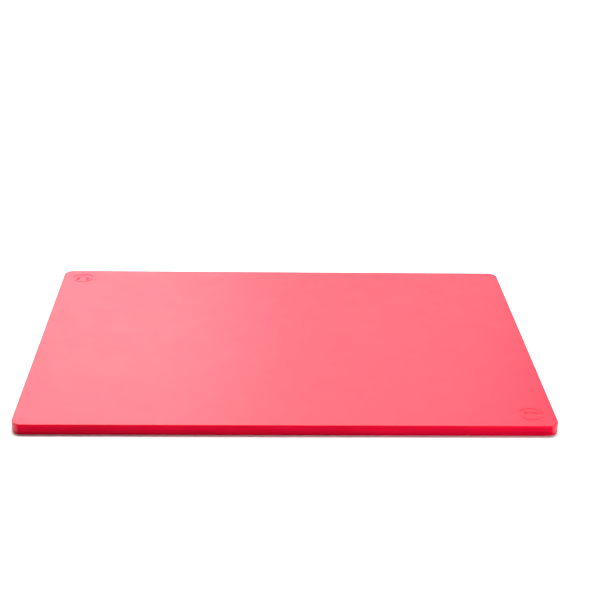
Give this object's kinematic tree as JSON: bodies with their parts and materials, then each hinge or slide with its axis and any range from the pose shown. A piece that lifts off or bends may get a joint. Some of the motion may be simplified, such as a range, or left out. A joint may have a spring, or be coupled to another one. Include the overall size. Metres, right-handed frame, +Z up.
{
  "type": "cutting board",
  "caption": "Flat rectangular catering cutting board in solid red polyethylene, with rounded corners, softened rims and a round sunk mark in opposite corners of each face.",
  "frame": {"origin": "middle of the underside, on the surface the board rests on", "axes": "+X along the long side, +Y from the front edge to the back edge, +Z up through the thickness"},
  "size_m": [0.6, 0.45, 0.0127],
  "materials": {
    "red_polyethylene": "satin"
  },
  "bodies": {
    "root": {"cutting_board": "red_polyethylene"}
  },
  "joints": []
}
